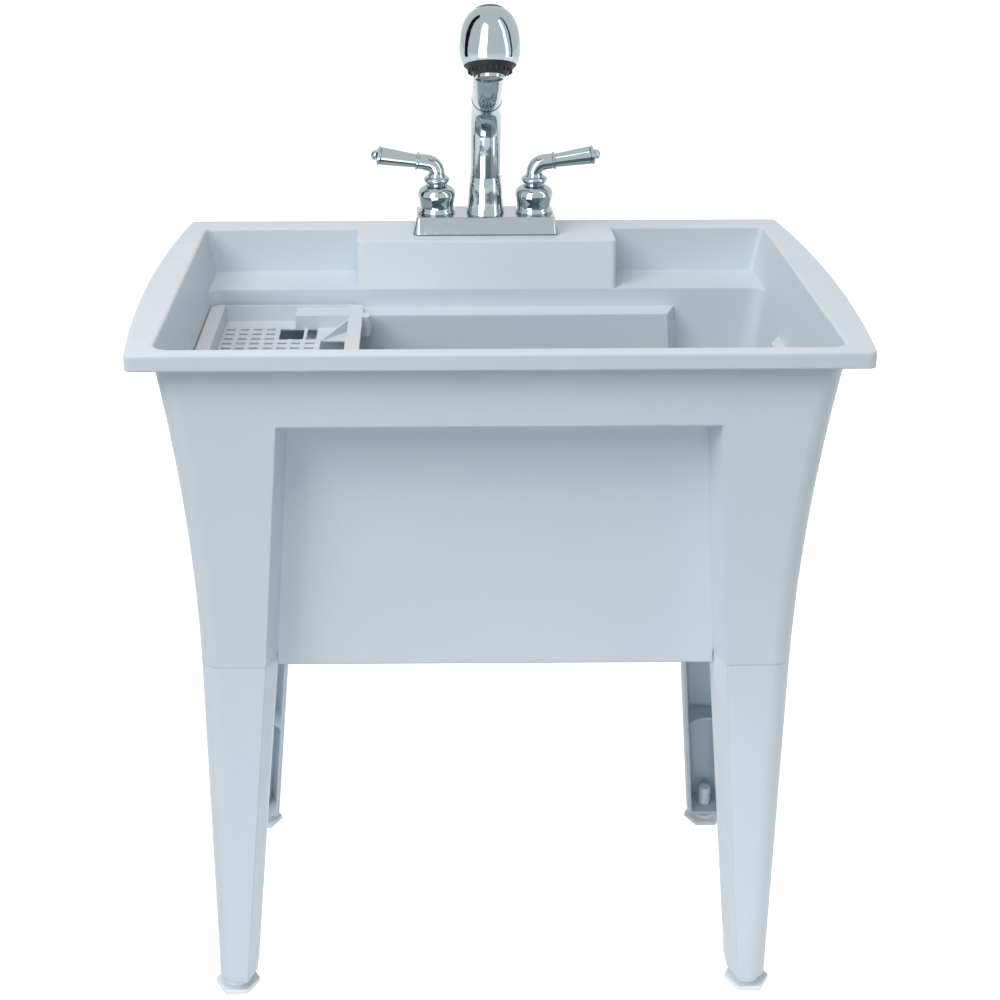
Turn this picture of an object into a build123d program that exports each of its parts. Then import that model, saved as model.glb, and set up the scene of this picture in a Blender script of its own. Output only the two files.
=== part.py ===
"""Free-standing utility laundry sink: a moulded tub on four plug-in legs with levelling feet,
a lift-out tray, a waste fitting with stopper, and a two-lever tap with a pull-out spray.

Millimetres. +X is to the right, +Y to the wall behind, +Z up. The origin is on the floor, in the
middle of the rim's width and depth. Each sub-part is one STEP file in parts/.
"""

import os
from math import atan2, cos, degrees, radians, sin

from build123d import *

os.makedirs("parts", exist_ok=True)

# ---------------------------------------------------------------- clearances shared by all fits
slip = 0.3  # between faces that slide or lift off, and between curved faces
running = 0.06  # radial, between a turning shaft and its bore

# ---------------------------------------------------------------- tub: rim
rim_height = 864.0
rim_depth = 559.0
rim_front_width = 813.0
rim_taper = 3.0  # how much nearer the middle each side is at the back
rim_bow = 15.5  # how far the sides bow out past a straight line
rim_corner = 9.0
rim_edge = 3.0
lip_height = 19.0
lip_thickness = 4.0
wall = 4.5

# ---------------------------------------------------------------- tub: body
apron_setback = 15.0  # apron face behind the rim's front edge
body_inset = 60.5  # side of the body inside the rim's edge, at the legs
rim_overhang = 22.1  # the same, under the rim
body_back_setback = 137.0  # rear leg face in front of the rim's back edge
back_flare = 15.0  # how far the rear face swells back under the soap shelves
flare_to_shelf = 12.0  # top of that swell below the soap shelves
body_corner = 24.0
tub_height = 392.0  # from the joint with the legs to the rim
skirt_drop = 18.0  # lower edge of the tub below that joint

# ---------------------------------------------------------------- tub: recessed panels
recess_depth = 40.0
back_recess_depth = 18.5
back_recess_draft = 14.0
column_width = 99.5  # from the side of the body to the recess's top corner
recess_slope = 0.0738  # growth of the half width per mm down
recess_draft = 9.5  # how much narrower the recess is at its panel

# ---------------------------------------------------------------- tub: inside
rim_land = 27.5  # width of the rim's top at the sides
back_land = 40.5  # the same behind the soap shelves
basin_depth = 394.0
alcove_corner = 7.0
floor_thickness = 5.0
floor_fall = 8.0  # from the walls to the drain
floor_flat = 55.0  # half width of the flat round the drain
socket_height = 103.0  # from the joint with the legs to the floor of the corner pockets
shelf_drop = 61.0  # soap shelves below the rim
deck_half_width = 172.5
deck_depth = 107.0
deck_lean = 19.5
deck_corner = 7.0
rib_thickness = 3.0
deck_rib_x = 122.0
ledge_drop = 86.0  # ledges and side lugs below the rim
lug_reach = 29.0  # how far the lugs come in from the opening's side
lug_flat = 102.0  # length of a lug's inner edge
lug_slope = 2.0
lug_drop = 34.0
lug_draft = 18.0

# ---------------------------------------------------------------- legs and feet
leg_bottom = 20.0
leg_depth = 80.0
leg_depth_bottom = 52.0
leg_wall = 4.0
leg_width_bottom = 37.0
leg_plate = 5.0
leg_rib_height = 168.0
spigot_length = 68.0
spigot_wall = 3.0
spigot_fit = 0.4
screw_rises = (18.0, 52.0)  # above the joint
screw_radius = 2.4
screw_clearance = 0.3
screw_head_radius = 5.0
screw_head_height = 2.4
screw_length = 14.0
screw_seat_depth = 1.5
screw_inset = 40.0  # behind the apron face

foot_side_inset = 21.0  # foot centre inside the leg's outer side
foot_inset = 27.0  # foot centre behind the leg's outer face
foot_hex_radius = 28.5
foot_hex_height = 6.0
foot_collar_radius = 15.0
foot_collar_height = 4.0
stud_radius = 8.75
stud_length = 41.0
stud_chamfer = 1.5

# ---------------------------------------------------------------- waste fitting
drain_flange_radius = 44.0
drain_flange_height = 3.0
drain_neck_radius = 23.8
drain_bore = 19.6
drain_seat_radius = 27.0
drain_seat_depth = 8.0
drain_neck_length = 52.0
drain_hole_radius = 25.0
drain_bar = 3.0
drain_bar_depth = 18.0  # bars below the flange's top
gasket_radius = 36.0
gasket_thickness = 3.0
friction_washer_thickness = 1.0
lock_nut_radius = 34.0
lock_nut_height = 10.0
slip_nut_radius = 30.0
slip_nut_height = 20.0
slip_nut_floor = 3.0
tailpiece_radius = 19.05
tailpiece_wall = 1.5
tailpiece_length = 42.0
tailpiece_bead = 0.6  # thicker stretch under the collar
tailpiece_collar = 2.0
tailpiece_washer_thickness = 2.0
stopper_radius = 31.0
stopper_height = 3.0
stopper_plug_depth = 12.0
stopper_grip_radius = 9.0

# ---------------------------------------------------------------- lift-out tray
tray_width = 201.0
tray_side_gap = 15.0  # between the tray and the side of the opening
tray_bearing = 21.0  # how far the tray reaches over the ledges
tray_hang = 17.5  # underside below the ledges
tray_rise = 7.0  # rim above the ledges
tray_wall = 2.5
tray_flange = 18.0
tray_step_gap = 2.5  # between the tray's step and the ledge's end
tray_shelf_depth = 34.0
tray_corner = 12.0
slot_length = 11.5
slot_width = 7.0
slot_pitch_x = 17.65
slot_pitch_y = 18.5
slot_inset_x = 28.7  # first slot from the tray's left side
slot_inset_y = 37.5  # first slot from the tray's back
slot_columns = 7
window_columns = (93.5, 124.5, 129.0, 141.6)  # edges of two windows from the tray's left side
window_near = 76.5  # front and back edges of the windows from the tray's back
window_far = 35.5
hatch_columns = (148.0, 179.0)
hatch_near = 121.0
hatch_far = 83.0
web_run = 72.0
web_angle = 48.7
hook_width = 19.0
hook_reach = 10.5
hook_drop = 27.0
hook_corner = 6.0
hook_inset = 44.0  # middle of the hook from the tray's back

# ---------------------------------------------------------------- tap: plate and valves
tap_setback = 47.0  # tap's middle in front of the rim's back edge
handle_x = 65.5
plate_length = 195.0
plate_depth = 72.0
plate_height = 22.5
plate_taper = 5.0
plate_wall = 3.0
plate_corner = 9.0
plate_edge = 2.5
gasket_height = 1.5
shank_radius = 10.48  # half-inch pipe thread, outside
shank_neck_radius = 11.0  # where the mounting nut sits
shank_bore = 7.0
shank_length = 62.0  # below the deck
shank_body_radius = 15.0
shank_body_height = 13.0
manifold_width = 13.0
manifold_inner = 7.0  # front face of the cross tube behind the spout's axis
manifold_angle = 20.0
outlet_set_back = 12.0
outlet_radius = 4.5
outlet_length = 40.0
shank_hole_radius = 16.0
trunk_hole_radius = 17.0
mount_washer_radius = 24.0
mount_washer_thickness = 2.0
mount_nut_radius = 17.0
mount_nut_height = 12.0
wing_length = 62.0
wing_width = 9.0
valve_radius = 13.2
valve_height = 16.0
valve_neck_radius = 9.0
valve_neck_height = 24.0
stem_radius = 5.5
stem_bottom = 12.0  # above the plate
stem_top = 50.0
bonnet_outside = [
    (24.5, 0),
    (25.0, 2.0),
    (24.2, 4.5),
    (23.3, 6.0),
    (23.2, 12.0),
    (25.4, 22.0),
    (24.0, 30.0),
    (18.0, 35.5),
    (13.8, 37.0),
]
bonnet_inside = [(13.8, 34.6), (17.0, 33.2), (21.6, 28.6), (22.8, 22.0), (20.8, 12.0), (20.8, 0)]

# ---------------------------------------------------------------- tap: lever handles
collar_height = 44.5  # middle of the collar above the plate
collar_radius = 17.7
collar_half = 4.4
handle_neck = 13.2
handle_bottom = 36.0
lever_radius = 10.8
elbow_bottom = 53.6
elbow_radius = 14.0
lever_tilt = 8.5
lever_reach = 77.0
lever_outline = [
    (12.0, 10.4),
    (13.0, 12.0),
    (15.5, 12.0),
    (16.5, 9.2),
    (62.5, 12.2),
    (63.5, 11.2),
    (64.5, 12.8),
    (67.5, 12.8),
    (69.0, 8.6),
    (70.5, 7.0),
]
set_screw_radius = 2.0
set_screw_length = 8.0

# ---------------------------------------------------------------- tap: spout
trunk_radius = 20.0
trunk_bore = 16.0
trunk_seam = 50.0  # above the plate
trunk_foot = [(26.2, 0), (24.5, 9.0), (22.2, 36.0), (20.4, 50.0)]
seam_gap = 0.4
pivot_radius = 14.0
pivot_bore = 11.0
pivot_rise = 94.0
pivot_flange_radius = 18.0
pivot_flange_height = 3.0
o_ring_width = 3.0
o_ring_heights = (60.0, 84.0)
bend_rise = 105.0  # where the trunk starts to lean, above the plate
bend_radius = 62.8
bend_angle = 50.0
dock_straight = 8.0
liner_flange = 1.4
liner_length = 9.0
liner_bore = 13.6

# ---------------------------------------------------------------- tap: pull-out spray
nozzle_reach = 134.0  # in front of the tap's middle
nozzle_rise = 203.5  # above the tap's plate
spray_tilt = 23.0
bulb_outline = [(32.7, 16.2), (36.2, 24.0), (38.0, 43.0), (35.6, 61.0), (29.4, 76.0), (20.5, 85.0)]
bulb_inside = [(0, 16.2), (29.4, 16.2), (33.0, 25.0), (34.6, 43.0), (32.0, 60.0), (26.0, 72.0), (0, 72.0)]
bulb_wall = 3.3
neck_radius = 19.6
neck_bend_radius = 273.0
neck_turn = 20.0
neck_end = 12.0
tail_length = 8.0
nipple_radius = 6.0
nipple_bore = 4.0
nipple_length = 16.0  # beyond the tail
nipple_collar_radius = 8.5
nipple_collar_height = 4.0
face_tip_level = 3.5
face_tip_radius = 19.8
face_plug = 6.0
spray_holes = 24
spray_hole_radius = 0.8
screen_pitch = 7.0
screen_hole = 4.0
aerator_radius = 18.2
aerator_bore = 15.8
aerator_bottom = -1.0
aerator_screen = 5.0
aerator_top = 10.0
button_radius = 18.0
button_bottom = 79.5
button_shoulder = 87.0
button_top = 92.0
button_stem_radius = 3.0
button_stem_bottom = 62.0
button_well = 76.0

# ---------------------------------------------------------------- derived places
front_y = -rim_depth / 2
back_y = rim_depth / 2
apron_y = front_y + apron_setback
body_back_y = back_y - body_back_setback
flare_back_y = body_back_y + back_flare
back_panel_y = body_back_y - back_recess_depth
shelf_back_y = back_y - back_land
deck_front_y = back_y - deck_depth
tap_y = back_y - tap_setback
mid_y = (apron_y + body_back_y) / 2
drain_y = (apron_y + recess_depth + back_panel_y) / 2
body_half_width = rim_front_width / 2 - body_inset
body_half_width_top = rim_front_width / 2 - rim_overhang
opening_half_width = rim_front_width / 2 - rim_land
lug_tip = opening_half_width - lug_reach
recess_top_half = body_half_width - column_width
foot_x = body_half_width - foot_side_inset
leg_mouth_bottom = body_half_width - leg_width_bottom
rim_underside = rim_height - lip_height
deck_underside = rim_height - wall
shelf_height = rim_height - shelf_drop
ledge_height = rim_height - ledge_drop
recess_top = ledge_height - wall
back_flare_end = shelf_height - flare_to_shelf
basin_floor = rim_height - basin_depth
drain_seat = basin_floor - floor_fall
leg_joint_height = rim_height - tub_height
body_bottom = leg_joint_height - skirt_drop
pocket_floor = leg_joint_height + socket_height
screw_heights = [leg_joint_height + rise for rise in screw_rises]
joint_mouth = recess_top_half + (recess_top - leg_joint_height) * recess_slope
joint_deep = joint_mouth - recess_draft
plate_bottom = rim_height + gasket_height
plate_top = plate_bottom + plate_height
bend_start = plate_top + bend_rise
trunk_seam_z = plate_top + trunk_seam
dock_y = tap_y - bend_radius * (1 - cos(radians(bend_angle))) - dock_straight * sin(radians(bend_angle))
dock_z = bend_start + bend_radius * sin(radians(bend_angle)) + dock_straight * cos(radians(bend_angle))
low_side = (Align.CENTER, Align.CENTER, Align.MIN)
high_side = (Align.CENTER, Align.CENTER, Align.MAX)
corner_names = ("front_left", "front_right", "back_left", "back_right")


def save(part, name):
    """One piece, one STEP file."""
    part.label = name
    export_step(part, f"parts/{name}.step")


def upright(x, y, z):
    """Drawing plane seen from the front, local y up."""
    return Plane((x, y, z), x_dir=(1, 0, 0), z_dir=(0, -1, 0))


def at_corner(part, name):
    """The front right piece, mirrored to a named corner."""
    piece = mirror(part, about=Plane.YZ, mode=Mode.PRIVATE) if "left" in name else part
    if "back" in name:
        piece = mirror(piece, about=Plane.XZ.offset(-mid_y), mode=Mode.PRIVATE)
    return piece


def body_front(half, top_half, y):
    """Front outline of the body: sides that rise straight and flare out to the rim."""
    with BuildSketch(upright(0, y, 0)) as outline:
        with BuildLine():
            Line((-half, body_bottom), (half, body_bottom))
            TangentArc((half, body_bottom), (top_half, rim_height), tangent=(0, 1))
            Line((top_half, rim_height), (-top_half, rim_height))
            TangentArc((-half, body_bottom), (-top_half, rim_height), tangent=(0, 1))
        make_face()
    return outline.sketch


def behind_body(inset, top, x):
    """Side outline of everything behind the rear face, which swells back in an ogee."""
    low = body_back_y - inset
    high = low + back_flare
    middle_z = (leg_joint_height + back_flare_end) / 2
    with BuildSketch(Plane.YZ.offset(x)) as outline:
        with BuildLine():
            Line((low, body_bottom), (low, leg_joint_height))
            TangentArc((low, leg_joint_height), (low + back_flare / 2, middle_z), tangent=(0, 1))
            TangentArc((high, back_flare_end), (low + back_flare / 2, middle_z), tangent=(0, -1))
            Polyline(
                (high, back_flare_end),
                (high, top),
                (back_y, top),
                (back_y, body_bottom),
                (low, body_bottom),
            )
        make_face()
    return outline.sketch


def rim_plan(inset):
    """Plan of the rim with its bowed sides, drawn in from the edge by an inset."""
    front_half = rim_front_width / 2 - inset
    back_half = front_half - rim_taper
    bowed_half = (front_half + back_half) / 2 + rim_bow
    near = front_y + inset
    far = back_y - inset
    with BuildSketch(Plane.XY.offset(rim_underside)) as outline:
        with BuildLine():
            Line((-front_half, near), (front_half, near))
            ThreePointArc((front_half, near), (bowed_half, 0), (back_half, far))
            Line((back_half, far), (-back_half, far))
            ThreePointArc((-back_half, far), (-bowed_half, 0), (-front_half, near))
        make_face()
        fillet(outline.vertices(), rim_corner - inset)
    return outline.sketch


def recess_outline(y, extra, draft):
    """Trapezoid of a panel recess on an upright plane."""
    top_half = recess_top_half + extra - draft
    drop = recess_top - body_bottom
    bottom_half = top_half + drop * recess_slope
    with BuildSketch(upright(0, y, 0)) as outline:
        Polygon(
            (-bottom_half, body_bottom),
            (bottom_half, body_bottom),
            (top_half, recess_top + extra),
            (-top_half, recess_top + extra),
            align=None,
        )
    return outline.sketch


def column_outline(z, mouth, deep, depth, inset, opened=0.0):
    """Plan of a front right corner column, inset from its outer faces, opened to the back."""
    front = apron_y + inset
    side = body_half_width - inset
    back = apron_y + depth - inset + opened
    with BuildSketch(Plane.XY.offset(z)) as outline:
        with BuildLine():
            Polyline(
                (mouth + inset, front),
                (side, front),
                (side, back),
                (deep + inset, back),
                (deep + inset, apron_y + depth / 2),
                close=True,
            )
        make_face()
        nose = outline.vertices().group_by(Axis.X)[-1].sort_by(Axis.Y)[0]
        fillet(nose, body_corner - inset)
    return outline.sketch


# ---------------------------------------------------------------- tub
with BuildPart() as deck_block:
    with BuildSketch(Plane.YZ.offset(-deck_half_width)):
        Polygon(
            (deck_front_y, rim_height),
            (deck_front_y - deck_lean, shelf_height),
            (shelf_back_y, shelf_height),
            (shelf_back_y, rim_height),
            align=None,
        )
    extrude(amount=2 * deck_half_width)
    nose_edges = deck_block.faces().sort_by(Axis.Y)[0].edges().filter_by(Axis.X, reverse=True)
    fillet(nose_edges, deck_corner)

with BuildPart() as basin:
    # one flared volume from the front wall to the back of the shelves
    front_outline = body_front(body_half_width - wall, opening_half_width, shelf_back_y)
    extrude(front_outline, amount=shelf_back_y - apron_y - wall, dir=(0, -1, 0))
    uprights = basin.edges().filter_by(lambda e: e.bounding_box().size.Z > wall)
    fillet(uprights.filter_by(lambda e: e.center().Y < mid_y), body_corner - wall)
    uprights = basin.edges().filter_by(lambda e: e.bounding_box().size.Z > wall)
    fillet(uprights.group_by(Axis.Y)[-1], alcove_corner)
    # the back wall under the shelves, and the deck between them
    side_outline = behind_body(wall, shelf_height, -rim_front_width / 2)
    extrude(side_outline, amount=rim_front_width, mode=Mode.SUBTRACT)
    uprights = basin.edges().filter_by(lambda e: e.bounding_box().size.Z > wall)
    back_uprights = uprights.filter_by(lambda e: body_back_y - wall <= e.center().Y < flare_back_y + wall)
    fillet(back_uprights, body_corner - wall)
    add(deck_block.part, mode=Mode.SUBTRACT)
    # ledges: the walls wrap round the recessed panels
    front_wrap = [
        recess_outline(apron_y - wall, wall, 0),
        recess_outline(apron_y + recess_depth + wall, wall, recess_draft),
    ]
    loft(front_wrap, mode=Mode.SUBTRACT)
    back_wrap = [
        recess_outline(back_panel_y - wall, wall, back_recess_draft),
        recess_outline(flare_back_y, wall, 0),
    ]
    loft(back_wrap, mode=Mode.SUBTRACT)
    # corner pockets end over the leg sockets
    pocket_depth = leg_depth + 2 * wall
    pocket_width = body_half_width - joint_deep + 2 * wall
    for pocket_y in (apron_y - wall, body_back_y + wall):
        inward = Align.MIN if pocket_y < 0 else Align.MAX
        for side in (-1, 1):
            outward = Align.MAX if side > 0 else Align.MIN
            with Locations((side * (body_half_width + wall), pocket_y, pocket_floor)):
                Box(
                    pocket_width,
                    pocket_depth,
                    pocket_floor - body_bottom,
                    align=(outward, inward, Align.MAX),
                    mode=Mode.SUBTRACT,
                )

with BuildPart() as socket:
    joint_outline = column_outline(leg_joint_height, joint_mouth, joint_deep, leg_depth, wall)
    extrude(joint_outline, amount=pocket_floor - floor_thickness - leg_joint_height)

with BuildPart() as floor_plate:
    # sloping floor, one thickness from the walls to the drain, on a grid of ribs
    low_corner = (Align.CENTER, Align.CENTER, Align.MAX)
    side_reach = body_half_width - wall / 2
    panel_gap = back_panel_y - apron_y - recess_depth
    with Locations((0, mid_y, basin_floor)):
        Box(2 * side_reach, body_back_y - apron_y - 2 * leg_depth, floor_thickness, align=low_corner)
    with Locations((0, drain_y, basin_floor)):
        Box(2 * joint_deep, panel_gap, floor_thickness, align=low_corner)
    dish_depth = panel_gap - 2 * wall
    rib_height = basin_floor - body_bottom
    for level in (basin_floor - floor_thickness, basin_floor):
        with BuildSketch(Plane.XY.offset(level)) as dish_top:
            with Locations((0, drain_y)):
                Rectangle(2 * joint_deep, dish_depth)
        with BuildSketch(Plane.XY.offset(level - floor_fall)) as dish_bottom:
            with Locations((0, drain_y)):
                Rectangle(2 * floor_flat, 2 * floor_flat)
        if level < basin_floor:
            loft([dish_top.sketch, dish_bottom.sketch])
            with Locations((0, drain_y - floor_flat, basin_floor), (0, drain_y + floor_flat, basin_floor)):
                Box(2 * side_reach, rib_thickness, rib_height, align=low_corner)
            with Locations((-floor_flat, drain_y, basin_floor), (floor_flat, drain_y, basin_floor)):
                Box(rib_thickness, dish_depth + 2 * wall, rib_height, align=low_corner)
        else:
            loft([dish_top.sketch, dish_bottom.sketch], mode=Mode.SUBTRACT)

with BuildPart() as body:
    front_outline = body_front(body_half_width, body_half_width_top, back_y)
    extrude(front_outline, amount=back_y - apron_y, dir=(0, -1, 0))
    side_outline = behind_body(0, shelf_height - wall, -rim_front_width / 2)
    extrude(side_outline, amount=rim_front_width, mode=Mode.SUBTRACT)
    uprights = body.edges().filter_by(lambda e: e.bounding_box().size.Z > wall)
    fillet(uprights.filter_by(lambda e: e.center().Y < flare_back_y + wall), body_corner)
    # the shelves end at their back wall, and the deck is hollow underneath
    with Locations((0, shelf_back_y + wall, 0)):
        Box(
            rim_front_width,
            rim_depth,
            2 * rim_height,
            align=(Align.CENTER, Align.MIN, Align.CENTER),
            mode=Mode.SUBTRACT,
        )
    with BuildSketch(Plane.YZ.offset(wall - deck_half_width)):
        Polygon(
            (deck_front_y + wall, deck_underside),
            (deck_front_y + wall, rim_underside),
            (flare_back_y, shelf_height),
            (flare_back_y, shelf_height - 2 * wall),
            (back_y, shelf_height - 2 * wall),
            (back_y, deck_underside),
            align=None,
        )
    extrude(amount=2 * (deck_half_width - wall), mode=Mode.SUBTRACT)

with BuildPart() as side_lugs:
    lug_run = (body_half_width_top - lug_tip) * lug_slope + lug_flat / 2
    with BuildSketch(Plane.XY.offset(ledge_height)):
        Polygon(
            (body_half_width_top, drain_y - lug_run),
            (body_half_width_top, drain_y + lug_run),
            (lug_tip, drain_y + lug_flat / 2),
            (lug_tip, drain_y - lug_flat / 2),
            align=None,
        )
    extrude(amount=-lug_drop, taper=lug_draft)
    add(body.part, mode=Mode.INTERSECT)
    mirror(about=Plane.YZ)

with BuildPart() as tub:
    # rim: a flanged slab with bowed sides, hollow underneath
    extrude(rim_plan(0), amount=lip_height)
    fillet(tub.faces().sort_by(Axis.Z)[-1].edges(), rim_edge)
    extrude(rim_plan(lip_thickness), amount=lip_height - wall, mode=Mode.SUBTRACT)
    add(body.part)
    add(basin.part, mode=Mode.SUBTRACT)
    top_edges = tub.edges().filter_by_position(Axis.Z, rim_height - slip, rim_height + slip)
    opening_edges = top_edges.filter_by(
        lambda e: abs(e.center().X) < opening_half_width + 1 and apron_y < e.center().Y < shelf_back_y + 1
    )
    fillet(opening_edges, rim_edge)
    # panels recessed into the front and the back
    front_recess = [
        recess_outline(apron_y, 0, 0),
        recess_outline(apron_y + recess_depth, 0, recess_draft),
    ]
    loft(front_recess, mode=Mode.SUBTRACT)
    back_recess = [
        recess_outline(back_panel_y, 0, back_recess_draft),
        recess_outline(flare_back_y, 0, 0),
    ]
    loft(back_recess, mode=Mode.SUBTRACT)
    add(floor_plate.part)
    add(side_lugs.part)
    for corner in corner_names:
        add(at_corner(socket.part, corner), mode=Mode.SUBTRACT)
    # notches where the legs take over the outer corners
    notch_width = body_half_width - joint_deep + slip
    for notch_y in (apron_y, body_back_y):
        inward = Align.MIN if notch_y < 0 else Align.MAX
        for side in (-1, 1):
            outward = Align.MAX if side > 0 else Align.MIN
            with Locations((side * body_half_width, notch_y, leg_joint_height)):
                Box(
                    notch_width,
                    leg_depth,
                    2 * (leg_joint_height - body_bottom),
                    align=(outward, inward, Align.MAX),
                    mode=Mode.SUBTRACT,
                )
    # screw holes with flat seats in the sides, over each leg's spigot
    for height in screw_heights:
        for screw_y in (apron_y + screw_inset, body_back_y - screw_inset):
            for side in (-1, 1):
                with Locations(Location((side * body_half_width, screw_y, height), (0, 90, 0))):
                    Cylinder(screw_radius + screw_clearance, 4 * wall, mode=Mode.SUBTRACT)
                    Cylinder(screw_head_radius + 1, 2 * screw_seat_depth, mode=Mode.SUBTRACT)
    # drain hole, tap holes, ribs under the deck
    with Locations((0, drain_y, basin_floor)):
        Cylinder(drain_hole_radius, 2 * rib_height, mode=Mode.SUBTRACT)
    rib_front_y = deck_front_y + wall
    with Locations((-deck_rib_x, rib_front_y, deck_underside), (deck_rib_x, rib_front_y, deck_underside)):
        Box(
            rib_thickness,
            back_y - deck_front_y - 2 * wall,
            lip_height - wall,
            align=(Align.CENTER, Align.MIN, Align.MAX),
        )
    with Locations((-handle_x, tap_y, rim_height), (handle_x, tap_y, rim_height)):
        Cylinder(shank_hole_radius, 3 * wall, mode=Mode.SUBTRACT)
    with Locations((0, tap_y, rim_height)):
        Cylinder(trunk_hole_radius, 3 * wall, mode=Mode.SUBTRACT)
save(tub.part, "tub")


# ---------------------------------------------------------------- legs, their screws and feet
leg_deep_bottom = leg_mouth_bottom - recess_draft
leg_top = leg_joint_height

with BuildPart() as leg:
    # tapered channel, open towards the middle of the sink
    outside = [
        column_outline(leg_bottom, leg_mouth_bottom, leg_deep_bottom, leg_depth_bottom, 0),
        column_outline(leg_top, joint_mouth, joint_deep, leg_depth, 0),
    ]
    loft(outside)
    spigot_inset = wall + spigot_fit
    spigot_outline = column_outline(leg_top - leg_wall, joint_mouth, joint_deep, leg_depth, spigot_inset)
    extrude(spigot_outline, amount=leg_wall + spigot_length)
    opened = 2 * leg_wall
    plate_z = leg_bottom + leg_plate
    inside = [
        column_outline(plate_z, leg_mouth_bottom, leg_deep_bottom, leg_depth_bottom, leg_wall, opened),
        column_outline(leg_top - leg_wall, joint_mouth, joint_deep, leg_depth, leg_wall, opened),
    ]
    loft(inside, mode=Mode.SUBTRACT)
    hollow_outline = column_outline(
        leg_top - 2 * leg_wall,
        joint_mouth,
        joint_deep,
        leg_depth,
        spigot_inset + spigot_wall,
        spigot_inset + 2 * spigot_wall,
    )
    extrude(hollow_outline, amount=rim_height, mode=Mode.SUBTRACT)
    # cross web with a scooped edge
    web_place = (leg_rib_height - leg_bottom) / (leg_top - leg_bottom)
    web_mouth = leg_mouth_bottom + web_place * (joint_mouth - leg_mouth_bottom)
    web_depth = leg_depth_bottom + web_place * (leg_depth - leg_depth_bottom)
    web_deep = web_mouth - recess_draft
    web_outline = column_outline(leg_rib_height, web_mouth, web_deep, web_depth, leg_wall / 2)
    extrude(web_outline, amount=leg_wall)
    web_middle = (body_half_width + web_mouth) / 2
    with Locations((web_middle, apron_y + web_depth + leg_wall, leg_rib_height + leg_wall / 2)):
        Cylinder(web_depth / 2, 2 * leg_wall, mode=Mode.SUBTRACT)
    # stud hole and screw holes
    with Locations((foot_x, apron_y + foot_inset, leg_bottom + leg_plate / 2)):
        Cylinder(stud_radius + slip, 2 * leg_plate, mode=Mode.SUBTRACT)
    for height in screw_heights:
        with Locations(Location((body_half_width, apron_y + screw_inset, height), (0, 90, 0))):
            Cylinder(screw_radius + running, 4 * wall, mode=Mode.SUBTRACT)

with BuildPart() as corner_screws:
    for height in screw_heights:
        seat_x = body_half_width - screw_seat_depth
        with Locations(Location((seat_x, apron_y + screw_inset, height), (0, 90, 0))):
            Cylinder(screw_head_radius, screw_head_height, align=low_side)
            Cylinder(screw_radius, screw_length, align=high_side)

with BuildPart() as foot:
    with BuildSketch():
        with Locations((foot_x, apron_y + foot_inset)):
            RegularPolygon(foot_hex_radius, 6)
    extrude(amount=foot_hex_height)
    chamfer(foot.faces().sort_by(Axis.Z)[-1].edges(), stud_chamfer)
    with Locations((foot_x, apron_y + foot_inset, foot_hex_height)):
        Cylinder(foot_collar_radius, foot_collar_height, align=low_side)
        Cylinder(
            stud_radius,
            foot_collar_height + stud_length,
            align=low_side,
        )
    chamfer(foot.faces().sort_by(Axis.Z)[-1].edges(), stud_chamfer)

with BuildPart() as leg_screws:
    for corner in corner_names:
        add(at_corner(corner_screws.part, corner))
save(leg_screws.part, "leg_screws")
for corner in corner_names:
    save(at_corner(leg.part, corner), f"{corner}_leg")
    save(at_corner(foot.part, corner), f"{corner}_foot")


# ---------------------------------------------------------------- waste fitting
def ring(inner, outer, bottom, height, y=drain_y):
    """Flat ring round the drain's axis."""
    with BuildPart(Plane((0, y, bottom))) as washer:
        Cylinder(outer, height, align=low_side)
        Cylinder(inner, height, align=low_side, mode=Mode.SUBTRACT)
    return washer.part


floor_underside = drain_seat - floor_thickness
neck_bottom = drain_seat - drain_neck_length
flange_top = drain_seat + drain_flange_height
drain_axis = Axis((0, drain_y, 0), (0, 0, 1))
thread_clear = drain_neck_radius + running

with BuildPart() as drain_flange:
    with BuildSketch(upright(0, drain_y, 0)):
        Polygon(
            (drain_bore, neck_bottom),
            (drain_neck_radius, neck_bottom),
            (drain_neck_radius, drain_seat),
            (drain_flange_radius, drain_seat),
            (drain_flange_radius - drain_flange_height, flange_top),
            (drain_seat_radius, flange_top),
            (drain_bore, flange_top - drain_seat_depth),
            align=None,
        )
    revolve(axis=drain_axis)
    with Locations((0, drain_y, flange_top - drain_bar_depth)):
        Box(2 * drain_bore + drain_bar, drain_bar, drain_bar)
        Box(drain_bar, 2 * drain_bore + drain_bar, drain_bar)
save(drain_flange.part, "drain_flange")

gasket_bottom = floor_underside - gasket_thickness
washer_bottom = gasket_bottom - friction_washer_thickness
save(ring(thread_clear, gasket_radius, gasket_bottom, gasket_thickness), "drain_gasket")
save(ring(thread_clear, gasket_radius, washer_bottom, friction_washer_thickness), "drain_friction_washer")

with BuildPart() as drain_lock_nut:
    with BuildSketch(Plane((0, drain_y, washer_bottom))):
        Circle(lock_nut_radius - drain_bar)
        with PolarLocations(lock_nut_radius - drain_bar, 6):
            Rectangle(2 * drain_bar, 3 * drain_bar)
        Circle(thread_clear, mode=Mode.SUBTRACT)
    extrude(amount=-lock_nut_height)
save(drain_lock_nut.part, "drain_lock_nut")

tailpiece_top = neck_bottom - tailpiece_washer_thickness
collar_bottom = tailpiece_top - tailpiece_collar
tailpiece_bottom = tailpiece_top - tailpiece_length
tailpiece_bore = tailpiece_radius - tailpiece_wall
washer_part = ring(tailpiece_bore, drain_neck_radius - slip, tailpiece_top, tailpiece_washer_thickness)
save(washer_part, "tailpiece_washer")

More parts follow.
